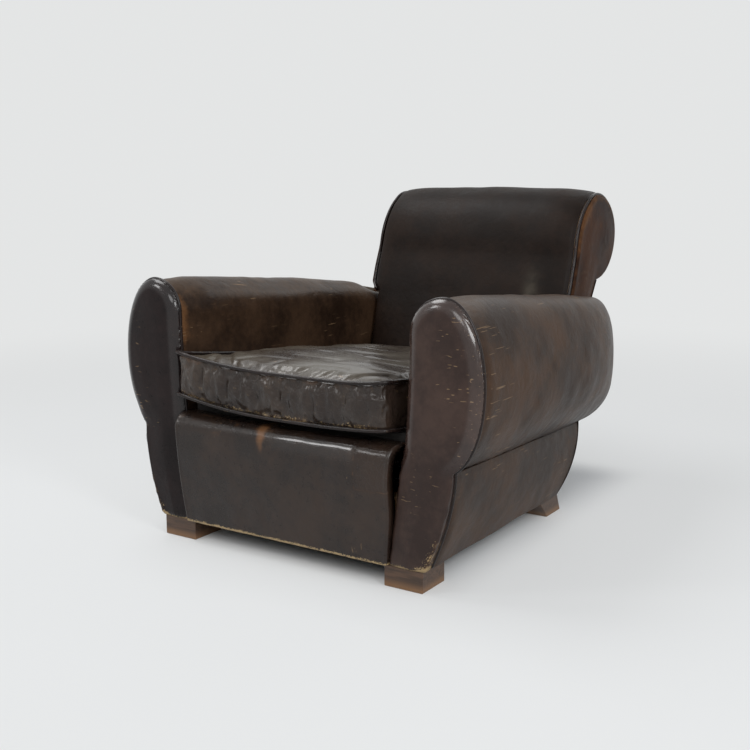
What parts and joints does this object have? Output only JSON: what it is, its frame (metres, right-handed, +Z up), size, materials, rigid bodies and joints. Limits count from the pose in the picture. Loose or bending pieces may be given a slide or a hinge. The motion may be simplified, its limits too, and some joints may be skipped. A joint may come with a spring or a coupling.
{
  "type": "club chair",
  "caption": "Worn dark leather club chair with rolled arms, raked rolled back, loose seat cushion and wooden feet.",
  "frame": {"origin": "centre of the chair's footprint box, on the floor", "axes": "+Z up, +Y from the arm fronts towards the back, +X to the right of someone facing the chair"},
  "size_m": [0.9246, 1.112, 0.78],
  "materials": {
    "leather": "dark brown semi-gloss leather, cracked and worn",
    "red_leather": "reddish brown worn leather",
    "foot_wood": "stained hardwood with worn edges",
    "frame_wood": "raw beech",
    "jute": "woven jute",
    "stuffing": "rubberised hair and wadding",
    "spring_steel": "coppered spring wire gone grey",
    "dust_cloth": "black woven dust cloth"
  },
  "bodies": {
    "root": {"arm_cover_left": "leather", "arm_cover_right": "leather", "arm_facing_left": "leather", "arm_facing_right": "leather", "arm_front_board_left": "frame_wood", "arm_front_board_right": "frame_wood", "arm_piping_left": "leather", "arm_piping_right": "leather", "arm_rail_left": "frame_wood", "arm_rail_right": "frame_wood", "arm_stuffing_left": "stuffing", "arm_stuffing_right": "stuffing", "arm_tack_rail_left": "frame_wood", "arm_tack_rail_right": "frame_wood", "back_cover": "leather", "back_piping_left": "leather", "back_piping_right": "leather", "back_side_board_left": "frame_wood", "back_side_board_right": "frame_wood", "back_side_facing_left": "red_leather", "back_side_facing_right": "red_leather", "back_stay_rail": "frame_wood", "back_stuffing": "stuffing", "back_top_rail": "frame_wood", "cushion_piping_bottom": "leather", "cushion_piping_top": "leather", "dust_cover": "dust_cloth", "front_apron": "leather", "front_foot_left": "foot_wood", "front_foot_right": "foot_wood", "front_rail": "frame_wood", "outside_arm_left": "leather", "outside_arm_right": "leather", "outside_back": "leather", "rear_post_left": "foot_wood", "rear_post_right": "foot_wood", "rear_rail": "frame_wood", "seat_cushion": "leather", "seat_deck": "stuffing", "seat_hessian": "jute", "seat_spring_1_1": "spring_steel", "seat_spring_1_2": "spring_steel", "seat_spring_1_3": "spring_steel", "seat_spring_2_1": "spring_steel", "seat_spring_2_2": "spring_steel", "seat_spring_2_3": "spring_steel", "seat_spring_3_1": "spring_steel", "seat_spring_3_2": "spring_steel", "seat_spring_3_3": "spring_steel", "side_rail_left": "frame_wood", "side_rail_right": "frame_wood", "webbing_cross_1": "jute", "webbing_cross_2": "jute", "webbing_cross_3": "jute", "webbing_long_1": "jute", "webbing_long_2": "jute", "webbing_long_3": "jute"}
  },
  "joints": []
}
